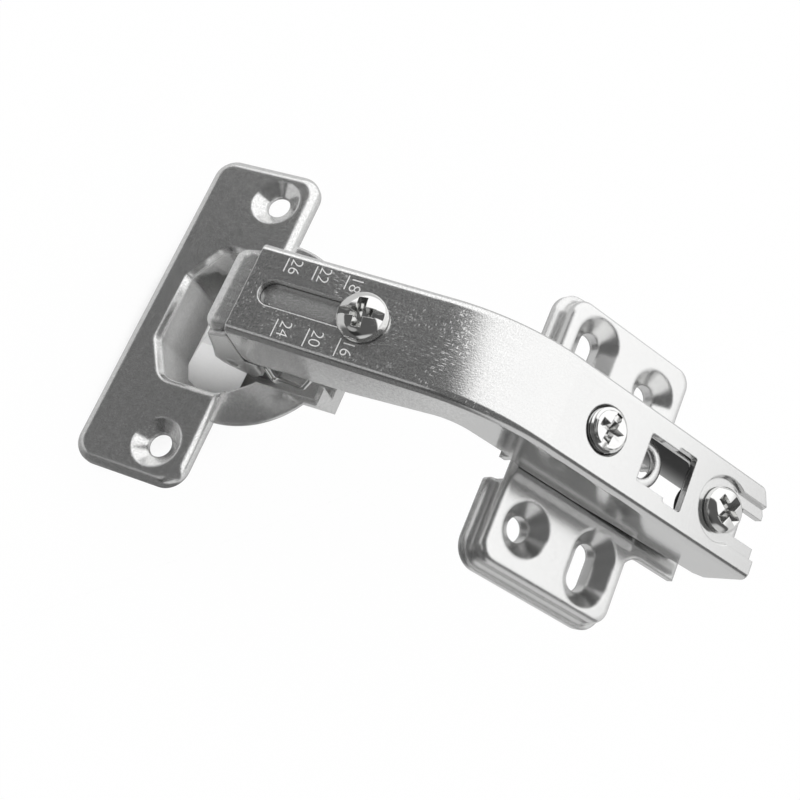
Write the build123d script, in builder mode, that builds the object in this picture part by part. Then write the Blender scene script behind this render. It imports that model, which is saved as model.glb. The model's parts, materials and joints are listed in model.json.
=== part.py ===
import math
import os

from build123d import *

os.makedirs("parts", exist_ok=True)

# Millimetres. Origin: centre of the fixing plate on the panel face.
# X runs along the arm to its rear, Y across it, Z away from the panel.

# fixing plate
plateSheet = 1.2
holeRow = 16.0          # half of the 32 mm screw rows
holeStep = 7.1          # half of the hole to slot step along X
screwHoleR = 2.15
sinkR = 4.6             # countersink mouth on the plate
slotTravel = 4.0        # slot length between its end centres
dimpleTaper = 22.0      # degrees, wall of the dish round each hole
wingTop = 4.8
wingHalfX = 13.9
wingHalfY = 23.7
lipWidth = 1.3          # flat lip round each wing
lipInnerY = 10.4        # the lip starts here, clear of the arm
lipStart = 0.8
lipHollow = 0.7         # sloped corner between lip and wing
wingCorner = 3.0
wingRound = 1.0
ridgeHalfY = 6.4
ridgeFront = -13.4
ridgeRear = 24.2
ridgeTop = 15.5
ridgeRound = 1.4
ridgeSlotR = 2.6
ridgeSlotRear = 3.9
ridgeWindowRear = 11.4
ridgeWindowHalfY = 4.9
tongueR = 4.4           # rounded end of the ridge beside its window
tongueRound = 0.9
ridgeWindowCorner = 0.8
rearStripHalfY = 10.4
rearStripEnd = 24.2
rearStripSweep = 3.5    # inside rounding where the strip leaves the wings
shoulderHalfY = 9.6
shoulderHeight = 0.4
shoulderInset = 0.4
shoulderTaper = 40.0    # degrees
collarR = 4.2
collarDepth = 3.6

# arm
armSheet = 1.3
armHalf = 8.0
armTop = 17.8
armRear = 27.4
crank = 45.0            # degrees
crankCornerX = -29.2
crankRadius = 28.0
frontLength = 44.0      # front end to the crank corner
armRound = 1.3
frontWall = 11.7        # side wall height at the front
rearWallZ = 5.65        # lower edge of the side walls beside the plate
rearWallEndZ = 8.2
bendWallZ = 7.1         # lower edge of the side walls between the bend and the plate
bendWallEnd = (-17.5, -13.5)
bendStart = 4.2         # wall's bend from the crank corner, along X
bendMiddle = (0.95, 6.12)
bendWall = (11.0, 8.9)  # end of the wall's bend, back from the corner and in from the face
wallStep = (25.0, 0.6)
frontWallCorner = 2.0
rearWallCut = (1.8, 1.0)
frontSlotR = 2.25
frontSlot = (4.85, 22.0)  # end centres along the front part
windowFront = -0.5
windowStep = 5.6
windowRear = 9.6
windowNarrow = 4.1
windowWide = 4.75
windowCorner = 0.4
forkX = 18.1            # clamp screw axis
forkHalf = 2.55
forkSeatR = 5.6
forkSeatDepth = 0.95
forkSeatRim = 0.7       # metal round the dished seat
forkSeatTaper = 22.0    # degrees
prongCut = (2.4, 4.6)
setScrewX = -8.9
setScrewR = 3.5
setScrewTop = 19.0
setScrewNeckR = 2.3
setScrewFootR = 3.1
setScrewFoot = 1.2
setScrewEdge = 0.4
neckGap = 0.25          # set screw's body to the plate's ridge
footGap = 0.15          # set screw's foot to the ridge's underside
threadGap = 0.04
holeBevel = 0.5

# carriage in the arm's front part, in its own s (to the rear) and n (out)
slideGap = 0.1
carriageSheet = 1.2
carriageRear = 24.0
noseFront = -5.2
noseRound = 2.6
noseHalf = 7.2
noseSide = 1.9          # rounding of the nose's long edges
noseDrop = 2.0          # straight end below the nose's bend
cheekHalf = 7.9         # the cheeks spread to this below the nose
frontGap = 0.35         # nose to arm end
wallGap = 0.7           # spread cheeks to the arm's lower edge
spreadBite = 0.2        # overlap of the spread with the cheeks it joins
webLead = 2.0           # how far the web runs in under the nose

# linkage pivots
pinR = 1.25
pivotGap = 0.05
openGap = 0.65          # extra room at the open pivot
armPivotOuter = (-3.40, -15.15)
armPivotInner = (-0.43, -10.88)
cupPivotOuter = (2.52, -9.60)
cupPivotInner = (7.08, -3.21)
rivetR = 1.1
linkEyeR = 2.2
outerLinkIn = 4.1       # inner face of the outer link's straight cheeks
linkSheet = 1.2
flareSlope = 0.58       # spread of the outer link below its first eye
flareRun = 14.0
linkLead = -20.0        # s of a plane in front of the outer link
innerEyeR = 2.4
innerWaist = 1.7        # half width of the inner link between its eyes
innerOpen = 6.5         # how far its hollow is cut, past its open side
eyeRoom = 0.6           # hollow round the inner link's eyes
openRim = 0.9           # metal round the open pivot
bracketSheet = 0.9
bracketHalfT = 2.1
innerLinkOut = 3.0
bracketIn = 3.1

# cup in its own t (to the rear), y and d (out of the door face)
cupS = -11.07           # screw line in s and n
cupN = -17.68
cupTilt = 3.0           # degrees past square to the arm
doorHoleRow = 24.0      # half of the 48 mm screw row
doorHoleR = 2.1
doorSinkR = 4.4
doorSinkDepth = 1.8
flangeFront = -14.5
flangeRear = 6.85
flangeHalfY = 30.6
flangeCorner = 4.0
flangeHeight = 2.5
flangeRound = 1.6
flangeInset = 0.4       # top of the forms under the flange, below its face
dimpleWall = 1.1        # metal round the flange's screw holes
doorDimpleTaper = 38.0  # degrees
cupSheet = 1.0
cupCentre = 6.0
discR = 17.4
discSheet = 0.8
discStart = 0.5         # front of the half disc, from its centre
cupDepth = 12.5         # inside depth below the flange top
pocketEdge = 1.1
pocketDraft = 4.0       # degrees
pocketCorner = 3.0
pocketEdgeTaper = 35.0  # degrees

# screws and wire
slotScrewS = 20.5
slotScrewHeadR = 4.0
slotScrewHead = 2.9
slotScrewR = 2.0
slotScrewLength = 5.4
slotHeadRound = 1.5
clampHeadR = 3.75
clampHead = 2.3
headGap = 0.6           # clamp screw head to the channel it lies in
clampScrewR = 2.4
clampHeadRound = 0.9
clampTail = 1.0         # screw end below the plate's collar
wireR = 0.45
springEnd = (3.0, -12.95)
springBend = 0.7

bite = 0.01             # overlap where one form grows from another
past = 1.0              # how far a cut runs past what it cuts
through = 40.0          # reach of a cut that goes right through
bevel = 45.0            # degrees

crankA = math.radians(crank)
frontX = crankCornerX - frontLength * math.cos(crankA)
frontZ = armTop - frontLength * math.sin(crankA)
along = (math.cos(crankA), 0, math.sin(crankA))
outward = (-math.sin(crankA), 0, math.cos(crankA))
tiltA = math.radians(crank + cupTilt)
doorAlong = (math.cos(tiltA), 0, math.sin(tiltA))
doorOut = (-math.sin(tiltA), 0, math.cos(tiltA))


def frontPoint(s, n, y=0.0):
    return (frontX + s * along[0] + n * outward[0], y, frontZ + s * along[2] + n * outward[2])


cupOrigin = frontPoint(cupS, cupN)


def cupPoint(t, d, y=0.0):
    return (cupOrigin[0] + t * doorAlong[0] + d * doorOut[0], y,
            cupOrigin[2] + t * doorAlong[2] + d * doorOut[2])


def inFront(t, d):
    # cup coordinates to the carriage's s and n
    c = math.cos(math.radians(cupTilt))
    s = math.sin(math.radians(cupTilt))
    return (cupS + t * c - d * s, cupN + t * s + d * c)


# side planes: local x is along the part, local y is out of it, normal is -Y
side = Plane.XZ
frontSide = Plane(origin=frontPoint(0, 0), x_dir=along, z_dir=(0, -1, 0))
cupSide = Plane(origin=cupOrigin, x_dir=doorAlong, z_dir=(0, -1, 0))


def frontFace(n=0.0):
    return Plane(origin=frontPoint(0, n), x_dir=along, z_dir=outward)


def cupFace(d=0.0):
    return Plane(origin=cupPoint(0, d), x_dir=doorAlong, z_dir=doorOut)


def band(yIn, yOut):
    # offsets of a sheet on both sides of the middle plane
    return [(yIn, yOut), (-yOut, -yIn)]


# one pressed sheet: two dished wings and a ridge that goes up inside the arm
def holeOutline(x, y, z, r, travel):
    # a round hole, or a slot along Y when it has travel
    with BuildSketch(Plane.XY.offset(z)) as outline:
        with Locations((x, y)):
            if travel:
                SlotCenterToCenter(travel, 2 * r, rotation=90)
            else:
                Circle(r)
    return outline.sketch


sinkDepth = sinkR - screwHoleR
dimpleLowR = screwHoleR + plateSheet
lipMid = (wingHalfY + lipWidth + lipInnerY) / 2
lipReach = wingHalfY + lipWidth - lipInnerY
ridgeMid = (ridgeFront + ridgeRear) / 2
slotEnd = ridgeSlotRear - ridgeSlotR
plateHoles = [(-holeStep, -holeRow, 0), (holeStep, -holeRow, slotTravel),
              (holeStep, holeRow, 0), (-holeStep, holeRow, slotTravel)]
with BuildPart() as plate:
    with BuildSketch() as lips:
        with Locations((0, lipMid), (0, -lipMid)):
            Rectangle(2 * (wingHalfX + lipWidth), lipReach)
        fillet(lips.vertices().filter_by(lambda v: abs(v.Y) > lipMid), wingCorner + lipWidth)
        fillet(lips.vertices().filter_by(lambda v: abs(v.Y) < lipInnerY + bite), lipStart)
    extrude(amount=plateSheet)
    with BuildSketch():
        RectangleRounded(2 * wingHalfX, 2 * wingHalfY, wingCorner)
    extrude(amount=wingTop)
    topEdges = plate.faces().filter_by(Axis.Z).sort_by(Axis.Z)[-1].edges()
    fillet(topEdges, wingRound)
    with BuildSketch(Plane.XY.offset(plateSheet)):
        RectangleRounded(2 * (wingHalfX + lipHollow), 2 * (wingHalfY + lipHollow), wingCorner + lipHollow)
    extrude(amount=lipHollow, taper=bevel)
    with BuildSketch(Plane.XY.offset(wingTop - plateSheet)) as strip:
        with Locations((rearStripEnd / 2, 0)):
            Rectangle(rearStripEnd, 2 * rearStripHalfY)
        with Locations(((wingHalfX - wingRound) / 2, 0)):
            Rectangle(wingHalfX - wingRound, 2 * (wingHalfY - wingCorner))
        inside = strip.vertices().filter_by(
            lambda v: abs(abs(v.Y) - rearStripHalfY) < bite and v.X < wingHalfX and v.X > bite)
        fillet(inside, rearStripSweep)
    extrude(amount=plateSheet)
    with BuildSketch(Plane.XY.offset(wingTop - bite)):
        Rectangle(2 * (wingHalfX - shoulderInset), 2 * shoulderHalfY)
    extrude(amount=shoulderHeight, taper=shoulderTaper)
    with BuildSketch(Plane.XY.offset(wingTop - plateSheet)):
        with Locations((ridgeMid, 0)):
            Rectangle(ridgeRear - ridgeFront, 2 * ridgeHalfY)
    extrude(amount=ridgeTop - wingTop + plateSheet)
    ridgeEdges = plate.edges().filter_by(Axis.X).filter_by(lambda e: e.center().Z > ridgeTop - bite)
    fillet(ridgeEdges, ridgeRound)
    with BuildSketch():
        RectangleRounded(2 * (wingHalfX - plateSheet), 2 * (wingHalfY - plateSheet), wingCorner - plateSheet)
    extrude(amount=wingTop - plateSheet, mode=Mode.SUBTRACT)
    with BuildSketch(Plane.XY.offset(-bite)):
        with Locations((ridgeMid, 0)):
            Rectangle(ridgeRear - ridgeFront + 2 * past, 2 * (ridgeHalfY - plateSheet))
    extrude(amount=ridgeTop - plateSheet + bite, mode=Mode.SUBTRACT)
    with BuildSketch(Plane.XY.offset(ridgeTop)):
        with Locations((slotEnd, 0)):
            Circle(ridgeSlotR)
        with Locations(((ridgeFront - past + slotEnd) / 2, 0)):
            Rectangle(slotEnd - ridgeFront + past, 2 * ridgeSlotR)
    extrude(amount=-plateSheet - bite, mode=Mode.SUBTRACT)
    with BuildSketch(Plane.XY.offset(ridgeTop)):
        with Locations(((slotEnd + ridgeWindowRear) / 2, 0)):
            RectangleRounded(ridgeWindowRear - slotEnd, 2 * ridgeWindowHalfY, ridgeWindowCorner)
        with Locations((slotEnd, 0)):
            Circle(tongueR, mode=Mode.SUBTRACT)
    extrude(amount=-plateSheet - bite, mode=Mode.SUBTRACT)
    tongueEnd = plate.edges().filter_by(lambda e: e.geom_type == GeomType.CIRCLE
                                        and abs(e.radius - tongueR) < bite and e.center().Z > ridgeTop - bite)
    fillet(tongueEnd, tongueRound)
    # the wings' ends have no wall beside the arm
    for hand in (1, -1):
        with BuildSketch(Plane.XY.offset(-past)):
            for end in (1, -1):
                with Locations((end * (wingHalfX + lipWidth), hand * (ridgeHalfY + lipInnerY) / 2)):
                    Rectangle(2 * (lipWidth + plateSheet), lipInnerY - ridgeHalfY)
        extrude(amount=wingTop - plateSheet + past, mode=Mode.SUBTRACT)
    with BuildSketch(Plane.XY.offset(ridgeTop - plateSheet)):
        with Locations((forkX, 0)):
            Circle(collarR)
    extrude(amount=-collarDepth)
    with BuildSketch(Plane.XY.offset(ridgeTop)):
        with Locations((forkX, 0)):
            Circle(clampScrewR + threadGap)
    extrude(amount=-collarDepth - plateSheet - past, mode=Mode.SUBTRACT)
    for hx, hy, travel in plateHoles:
        extrude(holeOutline(hx, hy, 0, dimpleLowR, travel), amount=wingTop - plateSheet / 2,
                taper=-dimpleTaper)
    for hx, hy, travel in plateHoles:
        extrude(holeOutline(hx, hy, -past, screwHoleR, travel), amount=wingTop + past, mode=Mode.SUBTRACT)
        extrude(holeOutline(hx, hy, wingTop - sinkDepth, screwHoleR, travel), amount=sinkDepth, taper=-bevel,
                mode=Mode.SUBTRACT)
plate.part.label = "plate"
export_step(plate.part, "parts/plate.step")

# cranked arm: an inverted channel with a long smooth bend
bendRun = crankRadius * math.tan(crankA / 2)
bendRear = crankCornerX + bendRun
bendFrontS = frontLength - bendRun
forkRun = armRear - forkX


def offsetTop(depth):
    # the arm's top line moved inwards by depth, front end first
    r = crankRadius - depth
    a = frontPoint(0, -depth)
    b = frontPoint(bendFrontS, -depth)
    m = (bendRear - r * math.sin(crankA / 2), armTop - depth - r * (1 - math.cos(crankA / 2)))
    return [(a[0], a[2]), (b[0], b[2]), m, (bendRear, armTop - depth)]


def xz(s, n):
    p = frontPoint(s, n)
    return (p[0], p[2])


with BuildPart() as arm:
    top = offsetTop(0)
    with BuildSketch(side):
        with BuildLine():
            Line(top[0], top[1])
            ThreePointArc(top[1], top[2], top[3])
            Line(top[3], (armRear, armTop))
            Line((armRear, armTop), (armRear, rearWallEndZ))
            cut = (armRear - rearWallCut[0], rearWallEndZ - rearWallCut[1])
            Line((armRear, rearWallEndZ), cut)
            Line(cut, (0, rearWallZ))
            bend = (crankCornerX + bendStart, bendWallZ)
            Polyline((0, rearWallZ), (bendWallEnd[1], rearWallZ), (bendWallEnd[0], bendWallZ), bend)
            low = xz(frontLength - bendWall[0], -bendWall[1])
            ThreePointArc(bend, (crankCornerX + bendMiddle[0], bendMiddle[1]), low)
            step = xz(frontLength - wallStep[0], -frontWall + wallStep[1])
            Line(low, step)
            corner = (xz(frontWallCorner, -frontWall), xz(0, -frontWall + frontWallCorner))
            Line(step, corner[0])
            RadiusArc(corner[0], corner[1], frontWallCorner)
            Line(corner[1], top[0])
        make_face()
    extrude(amount=armHalf, both=True)
    ridges = arm.edges().filter_by(lambda e: abs(abs(e.center().Y) - armHalf) < bite)
    upper = ridges.filter_by(lambda e: e.center().Z > armTop - bite)
    bends = ridges.filter_by(lambda e: e.geom_type == GeomType.CIRCLE and e.radius > crankRadius - bite)
    fronts = ridges.filter_by(
        lambda e: e.geom_type == GeomType.LINE and abs((e @ 0.5).X - xz(bendFrontS / 2, 0)[0]) < bite
        and abs((e @ 0.5).Z - xz(bendFrontS / 2, 0)[1]) < bite)
    fillet(upper + bends + fronts, armRound)
    inner = offsetTop(armSheet)
    with BuildSketch(side):
        with BuildLine():
            start = xz(-past, -armSheet)
            end = (armRear + past, armTop - armSheet)
            below = frontZ - 2 * frontWall
            Line(start, inner[1])
            ThreePointArc(inner[1], inner[2], inner[3])
            Line(inner[3], end)
            Line(end, (end[0], below))
            Line((end[0], below), (start[0], below))
            Line((start[0], below), start)
        make_face()
    extrude(amount=armHalf - armSheet, both=True, mode=Mode.SUBTRACT)
    # dished seat for the clamp screw and its open fork
    with BuildSketch(Plane.XY.offset(armTop - forkSeatDepth - armSheet)):
        with Locations((forkX, 0)):
            Circle(forkSeatR + forkSeatRim)
        with Locations(((forkX + armRear) / 2, 0)):
            Rectangle(forkRun, 2 * (forkSeatR + forkSeatRim))
    extrude(amount=forkSeatDepth + bite)
    with BuildSketch(Plane.XY.offset(armTop - forkSeatDepth)):
        with Locations((forkX, 0)):
            Circle(forkSeatR - forkSeatDepth * math.tan(math.radians(forkSeatTaper)))
    extrude(amount=forkSeatDepth, taper=-forkSeatTaper, mode=Mode.SUBTRACT)
    with BuildSketch(Plane.XY.offset(armTop - forkSeatDepth)):
        with Locations(((forkX + armRear + past) / 2, 0)):
            Rectangle(forkRun + past, 2 * (clampHeadR + headGap))
    extrude(amount=forkSeatDepth + past, taper=-forkSeatTaper, mode=Mode.SUBTRACT)
    with BuildSketch(Plane.XY.offset(armTop + past)):
        with Locations((forkX, 0)):
            Circle(forkHalf)
        with Locations(((forkX + armRear + past) / 2, 0)):
            Rectangle(forkRun + past, 2 * forkHalf)
        with Locations((setScrewX, 0)):
            Circle(setScrewR + threadGap)
        with Locations(((windowFront + windowStep + windowCorner) / 2, 0)):
            RectangleRounded(windowStep - windowFront + windowCorner, 2 * windowNarrow, windowCorner)
        with Locations(((windowStep + windowRear) / 2, 0)):
            RectangleRounded(windowRear - windowStep, 2 * windowWide, windowCorner)
    extrude(amount=-armSheet - forkSeatDepth - 2 * past, mode=Mode.SUBTRACT)
    with BuildSketch(Plane.XY.offset(armTop)):
        with Locations((setScrewX, 0)):
            Circle(setScrewR + threadGap + holeBevel)
    extrude(amount=-holeBevel, taper=bevel, mode=Mode.SUBTRACT)
    # bevelled end of one prong
    with BuildSketch(Plane.XY.offset(armTop + past)):
        with BuildLine():
            tip = armHalf - prongCut[1]
            Polyline((armRear + past, tip), (armRear, tip), (armRear - prongCut[0], armHalf),
                     (armRear - prongCut[0], armHalf + past), (armRear + past, armHalf + past), close=True)
        make_face()
    extrude(amount=-armTop, mode=Mode.SUBTRACT)
    # adjusting slot for the carriage
    with BuildSketch(frontFace(past)):
        with Locations(((frontSlot[0] + frontSlot[1]) / 2, 0)):
            SlotCenterToCenter(frontSlot[1] - frontSlot[0], 2 * frontSlotR)
    extrude(amount=-armSheet - 2 * past, mode=Mode.SUBTRACT)
arm.part.label = "arm"
export_step(arm.part, "parts/arm.step")

# carriage: a channel that slides in the arm's front part and carries the linkage
webOut = -armSheet - slideGap
webIn = webOut - carriageSheet
slideHalf = armHalf - armSheet - slideGap
cheekIn = slideHalf - carriageSheet
wideIn = cheekHalf - carriageSheet
noseLow = webOut - noseRound - noseDrop
cheekTop = -frontWall - wallGap
cheekOutline = [(-2.4, webOut), (carriageRear, webOut), (carriageRear, -6.0), (14.5, -8.6), (9.0, -12.2),
                (5.6, -13.8), (3.2, -14.2), (-0.6, -15.6), (-3.0, -14.0), (-2.8, -12.6)]
spreadCheek = [(-frontGap, -3.0), (-4.4, -4.5), (-5.4, -10.0), (-6.5, -14.4), (-5.3, -16.2), (-0.6, -18.7),
               (1.8, -16.6), (1.8, cheekTop), (-frontGap, cheekTop)]
spreadJoin = [(-2.4, -3.0), (-frontGap, -3.0), (-frontGap, cheekTop), (1.8, cheekTop), (1.8, -13.6),
              (-0.6, -14.6), (-2.4, -14.6)]
with BuildPart() as carriage:
    with BuildSketch(frontSide):
        with BuildLine():
            Line((-frontGap, webOut), (noseFront + noseRound, webOut))
            RadiusArc((noseFront + noseRound, webOut), (noseFront, webOut - noseRound), -noseRound)
            Line((noseFront, webOut - noseRound), (noseFront, noseLow))
            Line((noseFront, noseLow), (-frontGap, noseLow))
            Line((-frontGap, noseLow), (-frontGap, webOut))
        make_face()
    extrude(amount=noseHalf, both=True)
    noseEdges = carriage.edges().filter_by(lambda e: abs(abs(e.center().Y) - noseHalf) < bite)
    noseTop = frontPoint(0, webOut - noseRound)
    upperNose = noseEdges.filter_by(lambda e: (e.center() - Vector(*noseTop)).dot(Vector(*outward)) > 0)
    fillet(upperNose.filter_by(lambda e: abs((e % 0.5).Y) < bite), noseSide)
    with BuildSketch(frontSide):
        with BuildLine():
            Line((past, webIn), (noseFront + noseRound, webIn))
            RadiusArc((noseFront + noseRound, webIn), (noseFront + carriageSheet, webOut - noseRound),
                      carriageSheet - noseRound)
            Line((noseFront + carriageSheet, webOut - noseRound), (noseFront + carriageSheet, noseLow - past))
            Line((noseFront + carriageSheet, noseLow - past), (past, noseLow - past))
            Line((past, noseLow - past), (past, webIn))
        make_face()
    extrude(amount=cheekIn, both=True, mode=Mode.SUBTRACT)
    with BuildSketch(frontSide):
        with Locations(((carriageRear - webLead) / 2, (webOut + webIn) / 2)):
            Rectangle(carriageRear + webLead, carriageSheet)
    extrude(amount=slideHalf, both=True)
    for y0, y1 in band(cheekIn, slideHalf):
        with BuildSketch(frontSide.offset(y0)):
            with BuildLine():
                Polyline(*cheekOutline, close=True)
            make_face()
            with Locations(armPivotOuter):
                Circle(linkEyeR - pivotGap)
        extrude(amount=y1 - y0)
    for y0, y1 in band(wideIn, cheekHalf):
        with BuildSketch(frontSide.offset(y0)):
            with BuildLine():
                Polyline(*spreadCheek, close=True)
            make_face()
        extrude(amount=y1 - y0)
    for y0, y1 in band(slideHalf - spreadBite, wideIn + spreadBite):
        with BuildSketch(frontSide.offset(y0)):
            with BuildLine():
                Polyline(*spreadJoin, close=True)
            make_face()
            with Locations(armPivotOuter):
                Circle(linkEyeR - pivotGap)
        extrude(amount=y1 - y0)
    for s, n, r, half in ((*armPivotOuter, rivetR, cheekHalf + past), (*armPivotInner, pinR, slideHalf),
                          (*springEnd, wireR, slideHalf)):
        with BuildSketch(frontSide):
            with Locations((s, n)):
                Circle(r)
        extrude(amount=half, both=True, mode=Mode.SUBTRACT)
    with BuildSketch(frontFace(0)):
        with Locations((slotScrewS, 0)):
            Circle(slotScrewR + threadGap)
    extrude(amount=webIn - past, mode=Mode.SUBTRACT)
carriage.part.label = "carriage"
export_step(carriage.part, "parts/carriage.step")

# outer link: a channel whose cheeks spread towards the cup, closed along its front edge
cupOuterS, cupOuterN = inFront(*cupPivotOuter)
cupInnerS, cupInnerN = inFront(*cupPivotInner)
outerLinkOut = outerLinkIn + linkSheet
flareStart = armPivotOuter[1] - linkEyeR
flareEnd = flareStart - flareRun
spread = flareSlope * (flareStart - flareEnd)
linkAcross = Plane(origin=frontPoint(linkLead, 0), x_dir=(0, 1, 0), z_dir=along)
linkFront = [(-9.0, -13.25), (-14.6, -22.4), (-14.9, -25.4)]
linkWeb = [(-13.4, -24.2), (-13.4, -22.8), (-10.9, -18.2)]
linkRear = [(-12.6, -27.2), (-10.6, -28.6), (-7.6, -28.8), (-6.0, -26.8), (-3.7, -22.2), (-1.2, -17.2),
            (-1.2, -15.2), (-4.4, -13.25), (-6.8, -13.7)]
hollowRear = [(linkLead, -10.0), (4.0, -10.0), (4.0, -32.0), (linkLead, -32.0), (linkLead, -24.8)]
hollowFront = (linkLead, -16.7)


def spreadOutline(half):
    # section of the link's outer or inner faces, seen along the arm
    with BuildSketch(linkAcross) as outline:
        with BuildLine():
            Polyline((half, 0), (half, flareStart), (half + spread, flareEnd), (-half - spread, flareEnd),
                     (-half, flareStart), (-half, 0), close=True)
        make_face()
    return outline.sketch


with BuildPart() as linkHollow:
    with BuildSketch(frontSide):
        with BuildLine():
            Polyline(*hollowRear, *linkWeb, hollowFront, close=True)
        make_face()
    extrude(amount=through, both=True)
    extrude(spreadOutline(outerLinkIn), amount=through, mode=Mode.INTERSECT)

with BuildPart() as outerLink:
    with BuildSketch(frontSide):
        with BuildLine():
            Polyline(*linkFront, *linkRear, close=True)
        make_face()
        with Locations(armPivotOuter):
            Circle(linkEyeR)
    extrude(amount=through, both=True)
    extrude(spreadOutline(outerLinkOut), amount=through, mode=Mode.INTERSECT)
    add(linkHollow.part, mode=Mode.SUBTRACT)
    for s, n, r in ((*armPivotOuter, rivetR + pivotGap), (cupOuterS, cupOuterN, pinR + pivotGap)):
        with BuildSketch(frontSide):
            with Locations((s, n)):
                Circle(r)
        extrude(amount=through, both=True, mode=Mode.SUBTRACT)
outerLink.part.label = "outer_link"
export_step(outerLink.part, "parts/outer_link.step")

# inner link: a narrow channel between the two inner pivots, hooked on the cup pin with room
innerIn = innerLinkOut - linkSheet
innerFloor = innerWaist - linkSheet
linkRun = math.hypot(cupInnerS - armPivotInner[0], cupInnerN - armPivotInner[1])
linkEnd = frontPoint(cupInnerS, cupInnerN)
linkStart = frontPoint(*armPivotInner)
innerSide = Plane(origin=linkStart, x_dir=(linkEnd[0] - linkStart[0], 0, linkEnd[2] - linkStart[2]),
                  z_dir=(0, -1, 0))
openR = pinR + openGap
openEyeR = openR + openRim
with BuildPart() as innerLink:
    with BuildSketch(innerSide):
        Circle(innerEyeR)
        with Locations((linkRun, 0)):
            Circle(openEyeR)
        with Locations((linkRun / 2, 0)):
            Rectangle(linkRun, 2 * innerWaist)
    extrude(amount=innerLinkOut, both=True)
    with BuildSketch(innerSide):
        with Locations((linkRun / 2, (innerOpen - innerFloor) / 2)):
            Rectangle(linkRun + through, innerOpen + innerFloor)
        Circle(innerEyeR + eyeRoom)
        with Locations((linkRun, 0)):
            Circle(openEyeR + eyeRoom)
    extrude(amount=innerIn, both=True, mode=Mode.SUBTRACT)
    with BuildSketch(innerSide):
        Circle(pinR + pivotGap)
        with Locations((linkRun, 0)):
            Circle(openR)
    extrude(amount=innerLinkOut + past, both=True, mode=Mode.SUBTRACT)
innerLink.part.label = "inner_link"
export_step(innerLink.part, "parts/inner_link.step")

# cup: one pressing with a raised flange, an eight sided pocket and a half disc at its rear
mouth = [(-8.9, 6.3), (-4.7, 12.9), (5.6, 12.9), (11.6, 8.5)]
tailStart = 8.0
tailTop = (22.0, 8.5)
tailLow = (20.4, 5.2)
notchFront = 18.0
notch = [(6.0, past), (6.0, -2.6), (5.4, -8.4)]


def pocketOutline(d, grow):
    # the wide part of the pocket, grown outwards by the sheet
    with BuildSketch(cupFace(d)) as outline:
        with BuildLine():
            Polyline(*mouth, *[(t, -y) for t, y in reversed(mouth)], close=True)
        make_face()
        fillet(outline.vertices(), pocketCorner)
        if grow:
            offset(amount=grow)
    return outline.sketch


def tailOutline(d, rear, half):
    with BuildSketch(cupFace(d)) as outline:
        with Locations(((tailStart + rear) / 2, 0)):
            Rectangle(rear - tailStart, 2 * half)
    return outline.sketch


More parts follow.
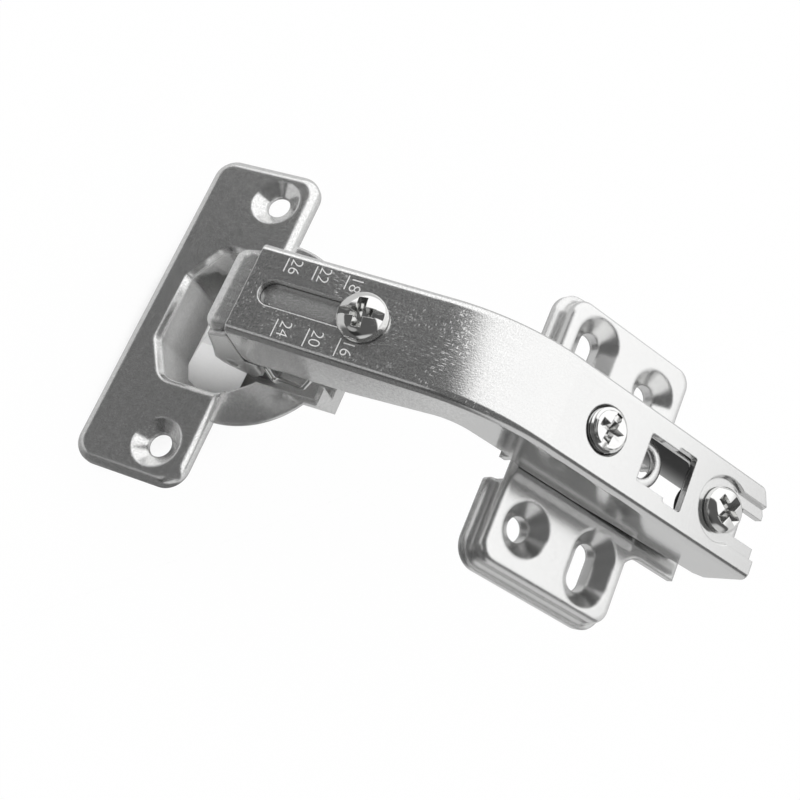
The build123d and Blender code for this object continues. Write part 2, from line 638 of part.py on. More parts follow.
flangeMid = (flangeFront + flangeRear) / 2
floorOut = -cupDepth - cupSheet
with BuildPart() as cup:
    with BuildSketch(cupFace(-flangeHeight)):
        with Locations((flangeMid, 0)):
            RectangleRounded(flangeRear - flangeFront, 2 * flangeHalfY, flangeCorner)
    extrude(amount=flangeHeight)
    topFace = cup.faces().sort_by(lambda f: (f.center() - Vector(*cupOrigin)).dot(Vector(*doorOut)))[-1]
    fillet(topFace.edges(), flangeRound)
    with BuildSketch(cupFace(-flangeHeight)):
        with Locations((flangeMid, 0)):
            RectangleRounded(flangeRear - flangeFront - 2 * cupSheet, 2 * (flangeHalfY - cupSheet),
                             flangeCorner - cupSheet)
    extrude(amount=flangeHeight - cupSheet, mode=Mode.SUBTRACT)
    for hand in (1, -1):
        with BuildSketch(cupFace(-flangeHeight)):
            with Locations((0, hand * doorHoleRow)):
                Circle(doorHoleR + dimpleWall)
        extrude(amount=flangeHeight - flangeInset, taper=-doorDimpleTaper)
    with BuildSketch(cupFace(-flangeHeight)):
        with Locations((cupCentre, 0)):
            Circle(discR)
        with Locations((cupCentre + discStart - through, 0)):
            Rectangle(2 * through, 2 * through, mode=Mode.SUBTRACT)
    extrude(amount=discSheet)
    extrude(pocketOutline(-flangeInset, cupSheet), amount=floorOut + flangeInset, taper=pocketDraft)
    with BuildSketch(cupFace(-flangeHeight + discSheet)):
        with Locations((flangeRear + discR / 2, 0)):
            Rectangle(discR, 2 * discR)
    extrude(amount=flangeHeight, mode=Mode.SUBTRACT)
    loft([tailOutline(floorOut, tailLow[0] + cupSheet, tailLow[1] + cupSheet).faces()[0],
          tailOutline(-flangeHeight + discSheet, tailTop[0] + cupSheet, tailTop[1] + cupSheet).faces()[0]])
    extrude(pocketOutline(0, 0), amount=-cupDepth, taper=pocketDraft, mode=Mode.SUBTRACT)
    extrude(pocketOutline(-pocketEdge, 0), amount=pocketEdge, taper=-pocketEdgeTaper, mode=Mode.SUBTRACT)
    loft([tailOutline(-cupDepth, tailLow[0], tailLow[1]).faces()[0],
          tailOutline(-flangeHeight + discSheet, tailTop[0], tailTop[1]).faces()[0]], mode=Mode.SUBTRACT)
    with BuildSketch(cupFace(-flangeHeight + discSheet)):
        with Locations(((tailStart + tailTop[0]) / 2, 0)):
            Rectangle(tailTop[0] - tailStart, 2 * tailTop[1])
    extrude(amount=flangeHeight, mode=Mode.SUBTRACT)
    # notch in the rear wall, where the arm comes in as the door shuts
    with BuildSketch(Plane(origin=cupPoint(notchFront, 0), x_dir=(0, 1, 0), z_dir=doorAlong)):
        with BuildLine():
            Polyline(*notch, *[(-y, d) for y, d in reversed(notch)], close=True)
        make_face()
    extrude(amount=discR, mode=Mode.SUBTRACT)
    for hand in (1, -1):
        with BuildSketch(cupFace(-flangeHeight - past)):
            with Locations((0, hand * doorHoleRow)):
                Circle(doorHoleR)
        extrude(amount=flangeHeight + 2 * past, mode=Mode.SUBTRACT)
        with BuildSketch(cupFace(-doorSinkDepth)):
            with Locations((0, hand * doorHoleRow)):
                Circle(doorHoleR)
        extrude(amount=doorSinkDepth, taper=-math.degrees(math.atan2(doorSinkR - doorHoleR, doorSinkDepth)),
                mode=Mode.SUBTRACT)
    with BuildSketch(cupSide):
        with Locations(cupPivotOuter):
            Circle(pinR)
    extrude(amount=through, both=True, mode=Mode.SUBTRACT)
cup.part.label = "cup"
export_step(cup.part, "parts/cup.step")

# bracket on the cup's floor that holds the inner pivot
bracketOut = bracketIn + bracketSheet
with BuildPart() as cupBracket:
    with BuildSketch(cupSide):
        with Locations(cupPivotInner):
            Circle(bracketHalfT)
        with Locations((cupPivotInner[0], (cupPivotInner[1] - cupDepth) / 2)):
            Rectangle(2 * bracketHalfT, cupPivotInner[1] + cupDepth)
    extrude(amount=bracketOut, both=True)
    with BuildSketch(cupSide):
        with Locations((cupPivotInner[0], 0)):
            Rectangle(4 * bracketHalfT, 2 * (cupDepth - bracketSheet))
    extrude(amount=bracketIn, both=True, mode=Mode.SUBTRACT)
    with BuildSketch(cupSide):
        with Locations(cupPivotInner):
            Circle(pinR)
    extrude(amount=through, both=True, mode=Mode.SUBTRACT)
cupBracket.part.label = "cup_bracket"
export_step(cupBracket.part, "parts/cup_bracket.step")


def pinOutline(plane, u, v, r):
    with BuildSketch(plane) as outline:
        with Locations((u, v)):
            Circle(r)
    return outline.sketch


# short rivets that hold the outer link to the carriage, one on each side
with BuildPart() as linkRivets:
    for y0, y1 in band(outerLinkIn, cheekHalf):
        extrude(pinOutline(frontSide.offset(y0), *armPivotOuter, rivetR), amount=y1 - y0)
linkRivets.part.label = "link_rivets"
export_step(linkRivets.part, "parts/link_rivets.step")

with BuildPart() as carriagePin:
    extrude(pinOutline(frontSide, *armPivotInner, pinR), amount=slideHalf, both=True)
carriagePin.part.label = "carriage_pin"
export_step(carriagePin.part, "parts/carriage_pin.step")

cupWallOut = mouth[1][1] + cupSheet + cupPivotOuter[1] * math.tan(math.radians(pocketDraft))
with BuildPart() as cupPin:
    extrude(pinOutline(cupSide, *cupPivotOuter, pinR), amount=cupWallOut, both=True)
cupPin.part.label = "cup_pin"
export_step(cupPin.part, "parts/cup_pin.step")

with BuildPart() as bracketPin:
    extrude(pinOutline(cupSide, *cupPivotInner, pinR), amount=bracketOut, both=True)
bracketPin.part.label = "bracket_pin"
export_step(bracketPin.part, "parts/bracket_pin.step")


# wire spring: two bent legs held in the carriage's cheeks and joined by a bar under the arm
springHalf = [(*springEnd, cheekIn), (*springEnd, 7.35), (4.6, -16.1, 8.5), (5.9, -13.7, 8.5),
              (10.2, -14.3, 8.5), (11.5, -12.7, 7.2)]
springPath = [frontPoint(a, b, -y) for a, b, y in springHalf] + [
    frontPoint(a, b, y) for a, b, y in reversed(springHalf)]
with BuildPart() as spring:
    with BuildLine() as wireLine:
        FilletPolyline(*springPath, radius=springBend)
    with BuildSketch(Plane(origin=wireLine.line @ 0, z_dir=wireLine.line % 0)):
        Circle(wireR)
    sweep()
spring.part.label = "spring"
export_step(spring.part, "parts/spring.step")

# pan head screw in the adjusting slot
with BuildPart() as slotScrew:
    extrude(pinOutline(frontFace(0), slotScrewS, 0, slotScrewHeadR), amount=slotScrewHead)
    headTop = slotScrew.edges().sort_by(
        lambda e: (e.center() - Vector(*frontPoint(slotScrewS, 0))).dot(Vector(*outward)))[-1]
    fillet(headTop, slotHeadRound)
    extrude(pinOutline(frontFace(0), slotScrewS, 0, slotScrewR), amount=-slotScrewLength)
slotScrew.part.label = "slot_screw"
export_step(slotScrew.part, "parts/slot_screw.step")

# adjusting screw in the arm: its neck runs in the plate's slot and its foot is under the ridge
neckTop = ridgeTop + neckGap
footTop = ridgeTop - plateSheet - footGap
with BuildPart() as setScrew:
    extrude(pinOutline(Plane.XY.offset(neckTop), setScrewX, 0, setScrewR), amount=setScrewTop - neckTop)
    chamfer(setScrew.edges().sort_by(Axis.Z)[-1], setScrewEdge)
    extrude(pinOutline(Plane.XY.offset(footTop), setScrewX, 0, setScrewNeckR), amount=neckTop - footTop)
    extrude(pinOutline(Plane.XY.offset(footTop - setScrewFoot), setScrewX, 0, setScrewFootR),
            amount=setScrewFoot)
setScrew.part.label = "set_screw"
export_step(setScrew.part, "parts/set_screw.step")

# clamp screw through the fork into the plate's collar
clampSeat = armTop - forkSeatDepth
with BuildPart() as clampScrew:
    extrude(pinOutline(Plane.XY.offset(clampSeat), forkX, 0, clampHeadR), amount=clampHead)
    fillet(clampScrew.edges().sort_by(Axis.Z)[-1], clampHeadRound)
    clampLow = ridgeTop - plateSheet - collarDepth - clampTail
    extrude(pinOutline(Plane.XY.offset(clampLow), forkX, 0, clampScrewR), amount=clampSeat - clampLow)
clampScrew.part.label = "clamp_screw"
export_step(clampScrew.part, "parts/clamp_screw.step")
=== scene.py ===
import json
import math

import bmesh
import bpy
from mathutils import Matrix, Vector


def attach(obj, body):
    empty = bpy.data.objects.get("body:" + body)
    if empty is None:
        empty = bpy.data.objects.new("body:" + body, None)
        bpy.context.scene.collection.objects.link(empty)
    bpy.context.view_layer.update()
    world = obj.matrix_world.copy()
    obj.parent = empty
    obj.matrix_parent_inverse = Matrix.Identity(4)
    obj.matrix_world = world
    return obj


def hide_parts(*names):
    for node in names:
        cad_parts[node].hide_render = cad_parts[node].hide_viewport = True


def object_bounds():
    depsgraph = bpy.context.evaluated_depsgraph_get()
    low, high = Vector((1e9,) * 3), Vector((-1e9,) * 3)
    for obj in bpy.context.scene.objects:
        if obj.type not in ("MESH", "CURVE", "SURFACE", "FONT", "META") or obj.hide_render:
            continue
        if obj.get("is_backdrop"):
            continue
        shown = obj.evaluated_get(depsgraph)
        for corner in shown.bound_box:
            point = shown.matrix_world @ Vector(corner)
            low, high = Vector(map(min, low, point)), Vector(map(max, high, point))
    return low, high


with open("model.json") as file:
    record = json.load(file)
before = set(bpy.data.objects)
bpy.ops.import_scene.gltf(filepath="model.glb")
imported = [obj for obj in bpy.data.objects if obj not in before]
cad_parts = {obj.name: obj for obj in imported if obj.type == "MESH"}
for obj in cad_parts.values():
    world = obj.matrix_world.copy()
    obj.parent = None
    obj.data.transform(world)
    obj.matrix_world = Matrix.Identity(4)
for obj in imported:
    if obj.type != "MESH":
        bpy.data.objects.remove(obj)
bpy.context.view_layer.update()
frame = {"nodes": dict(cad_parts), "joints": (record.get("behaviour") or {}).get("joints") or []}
nodes = frame["nodes"]
joints = {j["name"]: j for j in frame["joints"]}
mm = 0.001
toMetres = Matrix.Scale(mm, 4)      # new pieces are drawn in millimetres
print("frame loaded:", len(nodes), "nodes")


# a socket that takes Python's own operators; an expression adds its Math nodes
class Wire:
    def __init__(self, tree, socket=None):
        self.tree = tree
        self.socket = socket

    # any node: its settings come first, then the values or links of its sockets; out is a place or a name
    def node(self, kind, settings=None, sockets=None, out=0):
        made = self.tree.nodes.new(kind)
        for key, value in (settings or {}).items():
            setattr(made, key, value)
        for key, value in (sockets or {}).items():
            if isinstance(value, Wire):
                self.tree.links.new(value.socket, made.inputs[key])
            else:
                made.inputs[key].default_value = value
        return Wire(self.tree, made.outputs[out] if len(made.outputs) else None)

    def maths(self, kind, first, second):
        return self.node("ShaderNodeMath", {"operation": kind}, {0: first, 1: second})

    def __add__(self, other):
        return self.maths("ADD", self, other)

    def __radd__(self, other):
        return self.maths("ADD", other, self)

    def __sub__(self, other):
        return self.maths("SUBTRACT", self, other)

    def __rsub__(self, other):
        return self.maths("SUBTRACT", other, self)

    def __mul__(self, other):
        return self.maths("MULTIPLY", self, other)

    def __rmul__(self, other):
        return self.maths("MULTIPLY", other, self)

    # 0 below low, 1 above high and smooth between
    def step(self, low, high):
        settings = {"interpolation_type": "SMOOTHSTEP"}
        return self.node("ShaderNodeMapRange", settings, {"Value": self, "From Min": low, "From Max": high})

    # X, Y or Z of a vector
    def part(self, letter):
        return self.node("ShaderNodeSeparateXYZ", {}, {0: self}, out=letter)

    def stretched(self, scale):
        return self.node("ShaderNodeVectorMath", {"operation": "MULTIPLY"}, {0: self, 1: scale})

    # noise that swings about 0
    def noise(self, scale, detail, roughness=0.5):
        sockets = {"Vector": self, "Scale": scale, "Detail": detail, "Roughness": roughness}
        return self.node("ShaderNodeTexNoise", {}, sockets) - 0.5

    # the second colour over the first, by this share
    def mixed(self, first, second):
        return self.node("ShaderNodeMix", {"data_type": "RGBA"}, {0: self, 6: first, 7: second}, out=2)


def newMaterial(name):
    made = bpy.data.materials.new(name)
    made.use_nodes = True
    made.node_tree.nodes.clear()
    return made, Wire(made.node_tree)


def inMetres(sizes):
    return [size * mm for size in sizes]


def shade(colour, level):
    return tuple(min(1, c * level) for c in colour) + (1,)


# how open a point is, from 0 in a closed corner to 1; reach is in millimetres
def openness(wire, reach, samples):
    return wire.node("ShaderNodeAmbientOcclusion", {"samples": samples}, {"Distance": reach * mm}, out="AO")


# what every plated piece shares
plating = {
    "dark": 0.84, "pale": 1.12,             # the tint's ends, as shares of the colour
    "lineDetail": 5.0, "lineRoughness": 0.6, "grainDetail": 3.0, "grainRough": 0.06,
    "cloudScale": 90.0, "cloudDetail": 2.0, "cloudTint": 0.06,
    "cleaner": 0.85,                        # what the end that isn't handled loses of its grain
    "bumpStrength": 0.3, "bumpDistance": 0.03, "samples": 6,
    "satinSide": (-0.4, -0.05),             # no satin on faces whose normal turns towards -Y
    "hollowRough": 0.3,
}

# short bright scratches on faces that look up, in patches; the scales are cells per metre along X and Y
scratch = {
    "scales": ((560, 2300, 0), (2300, 700, 0), (1000, 1700, 0)), "thin": (0.07, 0.22),
    "patchScale": 150.0, "patchSpread": 40, "patchDetail": 1.0, "patch": (0.04, 0.12),
    "lookUp": (0.6, 0.85), "colour": (0.97, 0.97, 0.96, 1), "rough": 0.2, "dull": 0.5,
}


def scratches(place, normal):
    marked = 0.0
    for scale in scratch["scales"]:
        sockets = {"Vector": place.stretched(scale), "Scale": 1.0}
        cell = place.node("ShaderNodeTexVoronoi", {"voronoi_dimensions": "2D"}, sockets)
        # each layer has patches of its own
        patchScale = scratch["patchScale"] + scale[0] / scratch["patchSpread"]
        patch = place.noise(patchScale, scratch["patchDetail"])
        marked = (1 - cell.step(*scratch["thin"])) * patch.step(*scratch["patch"]) + marked
    return marked * normal.part("Z").step(*scratch["lookUp"])


# the inside of the ridge, which takes painted shade: between its walls, under its top and fading towards its
# foot
def insideRidge(place, hollow):
    sideways = place.maths("ABSOLUTE", place.part("Y"), 0)
    upward = place.part("Z")
    within = 1 - sideways.step(*inMetres(hollow["side"]))
    within = within * (1 - upward.step(*inMetres(hollow["top"])))
    return within * upward.step(*inMetres(hollow["foot"]))


# plated steel: fine lines along one axis, grain, scratches, rounded edges and painted shade that darkens the
# corners
def platedSteel(name, look):
    made, wire = newMaterial(name)
    place = wire.node("ShaderNodeTexCoord", out="Object")
    normal = wire.node("ShaderNodeNewGeometry", out="Normal")
    streak = place.stretched(look["lineScale"]).noise(1.0, plating["lineDetail"], plating["lineRoughness"])
    grain = place.noise(look["grainScale"], plating["grainDetail"])
    cloud = place.noise(plating["cloudScale"], plating["cloudDetail"])
    worn = 1.0
    if "worn" in look:
        # only the end that is handled shows its grain and scratches
        worn = 1 - place.part("X").step(*inMetres(look["worn"])) * plating["cleaner"]
    handled = (streak * look["lineTint"] + grain * look["grainTint"]) * worn
    # halfway between dark and pale where the noise is even
    tint = handled + cloud * plating["cloudTint"] + 0.5
    colour = tint.mixed(shade(look["colour"], plating["dark"]), shade(look["colour"], plating["pale"]))
    marked = scratches(place, normal) * worn * look["marks"]
    colour = marked.mixed(colour, scratch["colour"])
    # painted shade: where little is open around a point the colour falls towards a darker share of itself
    shadow = shade(look["colour"], look["cornerShadeLevel"])
    corner = openness(wire, look["corner"], plating["samples"])
    colour = corner.step(*look["cornerEdge"]).mixed(shadow, colour)
    rough = look["rough"] + streak * look["lineRough"] + grain * plating["grainRough"]
    rough = rough + marked * scratch["rough"]
    rounded = wire.node("ShaderNodeBevel", {"samples": plating["samples"]}, {"Radius": look["edge"] * mm})
    bump = wire.node("ShaderNodeBump", {}, {
        "Strength": plating["bumpStrength"], "Distance": plating["bumpDistance"] * mm,
        "Height": streak * look["lineBump"] + grain * look["grainBump"], "Normal": rounded})
    metal = look["metal"]
    if "satin" in look:
        # deep inside a pressing the plating is satin and takes more diffuse light; painted shade also
        # darkens the colour where the pressing is most covered
        covered = openness(wire, look["deep"], plating["samples"])
        away = normal.part("Y").step(*plating["satinSide"])
        metal = metal - (1 - covered.step(*look["deepEdge"])) * away * look["satin"]
        colour = covered.step(*look["pitShadeEdge"]).mixed(shadow, colour)
    if "hollow" in look:
        # painted shade: the inside of the ridge is painted near black, and its roughness is raised
        within = insideRidge(place, look["hollow"])
        colour = within.mixed(colour, look["hollow"]["colour"])
        rough = rough + within * plating["hollowRough"]
    metal = metal - marked * scratch["dull"]
    sockets = {"Base Color": colour, "Metallic": metal, "Roughness": rough, "Normal": bump}
    shader = wire.node("ShaderNodeBsdfPrincipled", {}, sockets)
    wire.node("ShaderNodeOutputMaterial", {}, {"Surface": shader})
    return made


# one finish for each kind of piece, each with painted shade in its corners; edge, corner, deep, worn and
# hollow are in millimetres
looks = {
    "armPlate": {
        "colour": (0.80, 0.80, 0.795), "metal": 0.94, "rough": 0.13, "marks": 0.9, "edge": 0.32,
        "lineScale": (60, 2600, 60), "lineTint": 1.2, "lineRough": 0.08, "lineBump": 0.4,
        "grainScale": 4200.0, "grainTint": 3.6, "grainBump": 1.0,
        "corner": 2.5, "cornerEdge": (0.02, 0.45), "cornerShadeLevel": 0.22,
        "worn": (-34.0, -24.0)},
    "carriagePlate": {
        "colour": (0.82, 0.82, 0.815), "metal": 0.9, "rough": 0.23, "marks": 0.4, "edge": 1.0,
        "lineScale": (60, 2600, 60), "lineTint": 0.8, "lineRough": 0.06, "lineBump": 0.4,
        "grainScale": 4200.0, "grainTint": 3.0, "grainBump": 0.8,
        "corner": 2.5, "cornerEdge": (0.25, 0.95), "cornerShadeLevel": 0.22},
    "brightPlate": {
        "colour": (0.82, 0.82, 0.815), "metal": 0.95, "rough": 0.2, "marks": 0.15, "edge": 0.9,
        "lineScale": (500, 500, 500), "lineTint": 0.2, "lineRough": 0.04, "lineBump": 0.15,
        "grainScale": 2200.0, "grainTint": 0.3, "grainBump": 0.3,
        "corner": 4.0, "cornerEdge": (0.05, 0.45), "cornerShadeLevel": 0.12,
        # painted shade: the inside of the ridge is painted near black
        "hollow": {"side": (5.35, 5.5), "top": (14.35, 14.5), "foot": (-2.0, 10.0),
                   "colour": (0.02, 0.02, 0.02, 1)}},
    "linkPlate": {
        "colour": (0.93, 0.93, 0.925), "metal": 0.1, "rough": 0.3, "marks": 0.1, "edge": 0.2,
        "lineScale": (500, 500, 500), "lineTint": 0.2, "lineRough": 0.04, "lineBump": 0.15,
        "grainScale": 2200.0, "grainTint": 0.3, "grainBump": 0.3,
        "corner": 1.0, "cornerEdge": (0.0, 0.3), "cornerShadeLevel": 0.22},
    "cupPlate": {
        "colour": (0.82, 0.82, 0.815), "metal": 0.93, "rough": 0.15, "marks": 0.25, "edge": 0.65,
        "lineScale": (900, 900, 900), "lineTint": 0.8, "lineRough": 0.06, "lineBump": 0.2,
        "grainScale": 4200.0, "grainTint": 2.6, "grainBump": 0.7,
        "corner": 1.2, "cornerEdge": (0.0, 0.3), "cornerShadeLevel": 0.22,
        # the cup's pocket: satin deep inside, and painted shade where it is most covered
        "satin": 0.85, "deep": 16.0, "deepEdge": (0.35, 0.72), "pitShadeEdge": (0.0, 0.1)},
    "screwPlate": {
        "colour": (0.86, 0.86, 0.85), "metal": 1.0, "rough": 0.1, "marks": 0.1, "edge": 0.12,
        "lineScale": (700, 700, 700), "lineTint": 0.2, "lineRough": 0.03, "lineBump": 0.1,
        "grainScale": 1800.0, "grainTint": 0.2, "grainBump": 0.15,
        "corner": 1.4, "cornerEdge": (0.15, 0.75), "cornerShadeLevel": 0.22},
    "pinSteel": {
        "colour": (0.55, 0.55, 0.55), "metal": 1.0, "rough": 0.3, "marks": 0.1, "edge": 0.15,
        "lineScale": (700, 700, 700), "lineTint": 0.3, "lineRough": 0.08, "lineBump": 0.2,
        "grainScale": 1800.0, "grainTint": 0.3, "grainBump": 0.3,
        "corner": 2.0, "cornerEdge": (0.05, 0.5), "cornerShadeLevel": 0.22},
    "stampLine": {
        "colour": (0.90, 0.90, 0.89), "metal": 0.4, "rough": 0.45, "marks": 0.0, "edge": 0.02,
        "lineScale": (700, 700, 700), "lineTint": 0.4, "lineRough": 0.08, "lineBump": 0.2,
        "grainScale": 4200.0, "grainTint": 1.6, "grainBump": 0.5,
        "corner": 0.2, "cornerEdge": (0.0, 0.3), "cornerShadeLevel": 0.5},
}
finish = {name: platedSteel(name, look) for name, look in looks.items()}
wears = {
    "arm": "armPlate", "carriage": "carriagePlate", "outer_link": "linkPlate", "inner_link": "pinSteel",
    "plate": "brightPlate", "cup": "cupPlate", "cup_bracket": "pinSteel", "link_rivets": "armPlate",
    "carriage_pin": "pinSteel", "cup_pin": "pinSteel", "bracket_pin": "pinSteel", "spring": "screwPlate",
    "slot_screw": "screwPlate", "set_screw": "screwPlate", "clamp_screw": "screwPlate",
}
softAngle = {"cad": 28, "head": 32, "thread": 25}       # edges sharper than this stay sharp, in degrees


def dress(obj, material):
    obj.data.materials.clear()
    obj.data.materials.append(material)


def shadeSoft(obj, degrees):
    obj.data.shade_smooth()
    obj.data.set_sharp_from_angle(angle=math.radians(degrees))


for nodeName, finishName in wears.items():
    dress(nodes[nodeName], finish[finishName])
    shadeSoft(nodes[nodeName], softAngle["cad"])
print("finishes set:", len(finish))


def newObject(name, data):
    made = bpy.data.objects.new(name, data)
    bpy.context.scene.collection.objects.link(made)
    return made


def meshFrom(name, bm):
    mesh = bpy.data.meshes.new(name)
    bm.to_mesh(mesh)
    bm.free()
    return mesh


# an object's mesh with its modifiers or its text worked out
def finalMesh(obj):
    bpy.context.view_layer.update()
    graph = bpy.context.evaluated_depsgraph_get()
    return bpy.data.meshes.new_from_object(obj.evaluated_get(graph))


# a frame of axes on a surface: origin, along, across and out
def axesAt(origin, along, out):
    across = out.cross(along)
    made = Matrix((along, across, out)).transposed().to_4x4()
    made.translation = origin
    return made


# a joint's own axes, with the driver recess turned about the screw's axis
def jointAxes(name, turn):
    out = Vector(joints[name]["axis"])
    side = Vector((0, 1, 0)).cross(out)
    spun = Matrix.Rotation(math.radians(turn), 3, out)
    return axesAt(Vector(joints[name]["pos_m"]), spun @ side, out)


def addMesh(name, mesh, place, finishName, body):
    obj = newObject(name, mesh)
    mesh.transform(place)
    dress(obj, finish[finishName])
    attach(obj, body)
    return obj


# a turned solid from a profile of radius and height
def turned(name, profile, steps=64):
    bm = bmesh.new()
    rings = []
    for r, h in profile:
        ring = []
        for k in range(steps if r > 0 else 1):
            a = 2 * math.pi * k / steps
            ring.append(bm.verts.new((r * math.cos(a), r * math.sin(a), h)))
        rings.append(ring)
    for low, high in zip(rings, rings[1:]):
        for k in range(steps):
            corners = []
            for ring, place in ((low, k), (low, k + 1), (high, k + 1), (high, k)):
                corner = ring[place % len(ring)]
                if corner not in corners:       # a ring of one point gives triangles
                    corners.append(corner)
            bm.faces.new(corners)
    bmesh.ops.recalc_face_normals(bm, faces=bm.faces)
    return meshFrom(name, bm)


# a helical thread round a shank, as one closed ridge that fades out at both ends
# the crest's edges are shares of the pitch, and steps is the count for one turn
threadForm = {"crest": (0.42, 0.58), "steps": 48, "fadeSteps": 12}


def thread(name, r, depth, pitch, low, high):
    bm = bmesh.new()
    steps = threadForm["steps"]
    count = int(((high - low) / pitch - 1) * steps)
    root = r - depth
    rings = []
    for k in range(count + 1):
        a = 2 * math.pi * k / steps
        h = low + pitch * k / steps
        crest = root + depth * min(1, k / threadForm["fadeSteps"], (count - k) / threadForm["fadeSteps"])
        rise, fall = threadForm["crest"]
        ring = [(root, h), (crest, h + pitch * rise), (crest, h + pitch * fall), (root, h + pitch)]
        rings.append([bm.verts.new((q * math.cos(a), q * math.sin(a), z)) for q, z in ring])
    for one, two in zip(rings, rings[1:]):
        for k in range(len(one)):
            bm.faces.new((one[k - 1], two[k - 1], two[k], one[k]))
    bm.faces.new(rings[0])
    bm.faces.new(reversed(rings[-1]))
    bmesh.ops.recalc_face_normals(bm, faces=bm.faces)
    return meshFrom(name, bm)


# the eight corners of a block, from the half sizes and heights of its top and its foot
def taper(topHalf, footHalf, top, foot):
    around = ((-1, -1), (1, -1), (1, 1), (-1, 1))
    return [(x * half[0], y * half[1], height)
            for half, height in ((topHalf, top), (footHalf, foot)) for x, y in around]


def addBlock(bm, corners, turn=0):
    spun = Matrix.Rotation(turn, 3, "Z")
    v = [bm.verts.new(spun @ Vector(c)) for c in corners]
    for face in ((0, 1, 2, 3), (7, 6, 5, 4), (4, 5, 1, 0), (5, 6, 2, 1), (6, 7, 3, 2), (7, 4, 0, 3)):
        bm.faces.new([v[k] for k in face])


# driver recess: a tapered cross, and a slot if the head has one
recessForm = {"footHalf": 0.38, "slotHalf": 0.4}        # half widths, as shares of the cross's width


def recess(cross):
    bm = bmesh.new()
    top = cross["top"]
    mouth = (cross["reach"], cross["width"] / 2)
    foot = (cross["foot"], cross["width"] * recessForm["footHalf"])
    for turn in (0, math.pi / 2):
        addBlock(bm, taper(mouth, foot, top, top - cross["depth"]), turn)
    if "slot" in cross:
        half = (cross["slot"], cross["width"] * recessForm["slotHalf"])
        addBlock(bm, taper(half, half, top, top - cross["slotDepth"]))
    return meshFrom("cross", bm)


def cutRecess(obj, cutterMesh):
    cutter = newObject("cutter", cutterMesh)
    cutterMesh.transform(toMetres)
    cut = obj.modifiers.new("recess", "BOOLEAN")
    cut.object = cutter
    cut.operation = "DIFFERENCE"
    cut.solver = "EXACT"
    cut.use_self = True
    solid = finalMesh(obj)
    obj.modifiers.clear()
    obj.data = solid
    bpy.data.objects.remove(cutter)


# the three screws, each turned, cut and threaded; in millimetres, with heights from the joint's own point
screws = {
    "slot_screw": {
        "joint": "slot_turn", "turn": 8,
        "profile": [(0, -5.4), (1.62, -5.4), (1.62, 0), (3.7, 0), (4.0, 0.3), (4.0, 1.15), (3.85, 1.7),
                    (3.5, 2.2), (2.9, 2.6), (2.0, 2.82), (1.0, 2.89), (0, 2.9)],
        "cross": {"reach": 2.9, "foot": 0.9, "width": 1.55, "depth": 2.2, "top": 3.2,
                  "slot": 4.4, "slotDepth": 1.3},
        "thread": {"r": 2.0, "depth": 0.4, "pitch": 0.7, "low": -5.4, "high": -0.05}},
    "set_screw": {
        "joint": "set_turn", "turn": 80,
        "profile": [(0, -4.85), (3.1, -4.85), (3.1, -3.65), (2.3, -3.65), (2.3, -2.05), (3.05, -2.05),
                    (3.05, 1.0), (2.85, 1.2), (0, 1.2)],
        "cross": {"reach": 2.5, "foot": 0.8, "width": 1.45, "depth": 1.9, "top": 1.4,
                  "slot": 3.3, "slotDepth": 0.8},
        "thread": {"r": 3.5, "depth": 0.46, "pitch": 0.6, "low": -2.05, "high": 1.2}},
    "clamp_screw": {
        "joint": "clamp_turn", "turn": 62,
        "profile": [(0, -7.1), (2.0, -7.1), (2.0, 0.05), (3.5, 0.05), (3.75, 0.3), (3.75, 1.2), (3.35, 1.75),
                    (2.9, 2.15), (2.5, 2.3), (0, 2.35)],
        "cross": {"reach": 3.0, "foot": 0.9, "width": 1.6, "depth": 2.2, "top": 2.6},
        "thread": {"r": 2.4, "depth": 0.42, "pitch": 0.8, "low": -7.1, "high": -0.3}},
}


# a screw's body has its node's name
def buildScrew(node, look):
    place = jointAxes(look["joint"], look["turn"])
    headMesh = turned(node + "_head", look["profile"])
    head = addMesh(node + "_head", headMesh, toMetres, "screwPlate", node)
    cutRecess(head, recess(look["cross"]))
    head.data.transform(place)
    dress(head, finish["screwPlate"])
    shadeSoft(head, softAngle["head"])
    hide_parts(node)
    ridgeMesh = thread(node + "_thread", **look["thread"])
    ridge = addMesh(node + "_thread", ridgeMesh, place @ toMetres, "screwPlate", node)
    shadeSoft(ridge, softAngle["thread"])


for screwName, screwLook in screws.items():
    buildScrew(screwName, screwLook)
print("screws built:", len(screws))


# the stamped scale beside the slot: a tick and its number for each place, clear of the screw head's path
# s runs along the arm from its front end and y across it, in millimetres
stamp = {
    "near": {"numbers": ("24", "20", "16"), "s": (9.3, 14.7, 20.0), "y": -5.15, "tick": (-6.95, -3.85)},
    "far": {"numbers": ("26", "22", "18"), "s": (6.5, 11.5, 17.0), "y": 5.15, "tick": (3.95, 6.35)},
    "size": 2.8, "thinner": 0.045, "tickWidth": 0.17, "tickBefore": 1.5,
    "raise": 0.03, "halfDepth": 0.02,
    "screwAt": 20.5,        # the slot screw's s at rest
}
slideAxis = -Vector(joints["carriage_slide"]["axis"])
faceOut = Vector(joints["slot_turn"]["axis"])       # the slot screw stands square on the arm's outer face
faceOrigin = Vector(joints["slot_turn"]["pos_m"]) - slideAxis * stamp["screwAt"] * mm


def onFace(s, y):
    return faceOrigin + slideAxis * s * mm + Vector((0, y * mm, 0)) + faceOut * stamp["raise"] * mm


def stampNumber(text, s, y):
    curve = bpy.data.curves.new("scale_" + text, "FONT")
    curve.body = text
    curve.size = stamp["size"] * mm
    curve.align_x = "CENTER"
    curve.align_y = "CENTER"
    curve.offset = -stamp["thinner"] * mm
    curve.extrude = stamp["halfDepth"] * mm
    drawn = newObject("scale_" + text, curve)
    mesh = finalMesh(drawn)
    bpy.data.objects.remove(drawn)
    place = axesAt(onFace(s, y), Vector((0, -1, 0)), faceOut)
    addMesh("scale_" + text, mesh, place, "stampLine", "arm")


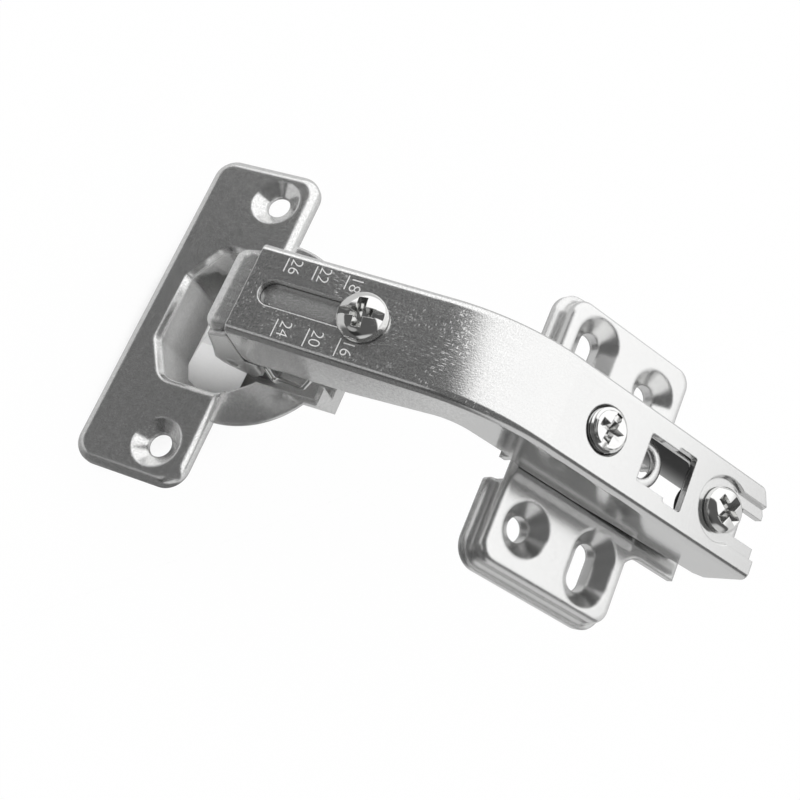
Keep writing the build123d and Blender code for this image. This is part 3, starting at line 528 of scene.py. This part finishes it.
def stampTick(text, s, low, high):
    bm = bmesh.new()
    half = (stamp["tickWidth"] / 2, (high - low) / 2)
    addBlock(bm, taper(half, half, stamp["halfDepth"], -stamp["halfDepth"]))
    place = axesAt(onFace(s, (low + high) / 2), slideAxis, faceOut) @ toMetres
    addMesh("tick_" + text, meshFrom("tick_" + text, bm), place, "stampLine", "arm")


for row in (stamp["near"], stamp["far"]):
    for number, s in zip(row["numbers"], row["s"]):
        stampNumber(number, s, row["y"])
        stampTick(number, s - stamp["tickBefore"], *row["tick"])
print("scale stamped")


def blend(first, second, share):
    return first * (1 - share) + second * share


# how far a direction lies inside a lobe
def facing(toward, direction, edge):
    unit = tuple(Vector(direction).normalized())
    settings = {"operation": "DOT_PRODUCT"}
    return toward.node("ShaderNodeVectorMath", settings, {0: toward, 1: unit}, out="Value").step(*edge)


# floor: white to the camera, a mid grey in reflections, with painted shadow where the hinge covers it, clear
# from below
floorLook = {
    "gap": 0.0004, "half": 3.0, "pale": (0.86, 0.86, 0.86, 1), "mirror": 0.6, "samples": 8,
    "cameraShare": 0.965, "mirrorShare": 0.92,      # the rest is the diffuse floor with its shadow
    # cover and shade set the reach of the painted shadow: cover for the floor the camera sees, shade for its
    # glow in reflections
    "cover": 30.0, "coverEdge": (0.02, 0.5), "shade": 130.0, "shadeEdge": (0.3, 0.75),
    "deepTo": (-0.45, -0.84, -0.3), "deepEdge": (0.70, 0.88), "deep": 0.05,
}


def paleFloor(look):
    made, wire = newMaterial("paleFloor")
    seen = wire.node("ShaderNodeLightPath", out="Is Camera Ray")
    glossy = wire.node("ShaderNodeLightPath", out="Is Glossy Ray")
    spot = wire.node("ShaderNodeNewGeometry", out="Position")
    outward = wire.node("ShaderNodeVectorMath", {"operation": "NORMALIZE"}, {0: spot})
    mirrored = blend(look["mirror"], look["deep"], facing(outward, look["deepTo"], look["deepEdge"]))
    # painted shadow in reflections: the floor's glow falls where the hinge covers it
    mirrored = mirrored * openness(wire, look["shade"], look["samples"]).step(*look["shadeEdge"])
    # painted shadow seen by the camera: the floor darkens close to the hinge
    opened = openness(wire, look["cover"], look["samples"]).step(*look["coverEdge"])
    pale = wire.node("ShaderNodeBsdfDiffuse", {}, {"Color": look["pale"]})
    glow = seen * opened + glossy * mirrored
    white = wire.node("ShaderNodeEmission", {}, {"Color": glow, "Strength": 1.0})
    share = seen * look["cameraShare"] + glossy * look["mirrorShare"]
    both = wire.node("ShaderNodeMixShader", {}, {0: share, 1: pale, 2: white})
    below = wire.node("ShaderNodeNewGeometry", out="Backfacing")
    clear = wire.node("ShaderNodeBsdfTransparent")
    sided = wire.node("ShaderNodeMixShader", {}, {0: below, 1: both, 2: clear})
    wire.node("ShaderNodeOutputMaterial", {}, {"Surface": sided})
    return made


def buildFloor(look):
    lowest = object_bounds()[0][2]
    h = look["half"]
    mesh = bpy.data.meshes.new("floor")
    mesh.from_pydata([(-h, -h, 0), (h, -h, 0), (h, h, 0), (-h, h, 0)], [], [(0, 1, 2, 3)])
    floor = newObject("floor", mesh)
    floor.location.z = lowest - look["gap"]
    floor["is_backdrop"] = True
    dress(floor, paleFloor(look))


# light comes from a bright half behind the hinge; the camera's half is dark, with a pale horizon in it
# plain is the even light on matt surfaces, and the camera itself sees white
sky = {
    "bright": 1.2, "turnTo": (0.42, 0.905, 0.0), "turnEdge": (0.05, 0.125),
    "end": 0.75, "endTo": (1.0, 0.0, 0.0), "endEdge": (0.56, 0.72),
    "dark": 0.105, "plain": 1.15, "white": 1.0,
    "deep": {"to": (-0.422, -0.906, 0.0), "edge": (0.80, 0.93), "level": 0.035},
    "horizon": {"to": (0.454, -0.891, 0.035), "edge": (0.80, 0.95), "level": 0.62},
    "streak": {"to": (-0.811, -0.507, 0.292), "edge": (0.955, 0.985), "level": 0.42},
}


def buildSky(look):
    world = bpy.data.worlds.new("studio")
    bpy.context.scene.world = world
    world.use_nodes = True
    world.node_tree.nodes.clear()
    wire = Wire(world.node_tree)
    toward = wire.node("ShaderNodeTexCoord", out="Generated")
    lit = blend(look["bright"], look["end"], facing(toward, look["endTo"], look["endEdge"]))
    unlit = look["dark"]
    for lobe in (look["deep"], look["horizon"], look["streak"]):
        unlit = blend(unlit, lobe["level"], facing(toward, lobe["to"], lobe["edge"]))
    level = blend(unlit, lit, facing(toward, look["turnTo"], look["turnEdge"]))
    level = blend(level, look["plain"], wire.node("ShaderNodeLightPath", out="Is Diffuse Ray"))
    level = blend(level, look["white"], wire.node("ShaderNodeLightPath", out="Is Camera Ray"))
    back = wire.node("ShaderNodeBackground", {}, {"Color": level, "Strength": 1.0})
    wire.node("ShaderNodeOutputWorld", {}, {"Surface": back})


buildFloor(floorLook)
buildSky(sky)
print("floor and sky set")

# camera: its place, its turn as an axis times an angle, and its focal length in pixels of the photograph
view = {
    "place": (-0.11457, -0.06592, 0.16171), "turn": (2.7560502657, 0.6834064154, 0.7440791654),
    "focal": 1239.193, "frame": 800, "sensor": 36.0, "nearest": 0.005,
}


def buildCamera(look):
    data = bpy.data.cameras.new("camera")
    data.sensor_width = look["sensor"]
    data.sensor_fit = "HORIZONTAL"
    data.lens = look["focal"] / look["frame"] * look["sensor"]
    data.clip_start = look["nearest"]
    turn = Vector(look["turn"])
    right, down, ahead = Matrix.Rotation(turn.length, 3, turn.normalized())
    pose = Matrix((right, -down, -ahead)).transposed().to_4x4()
    pose.translation = Vector(look["place"])
    camera = newObject("camera", data)
    camera.matrix_world = pose
    bpy.context.scene.camera = camera


buildCamera(view)
bpy.context.scene.view_settings.view_transform = "Standard"
print("camera set")
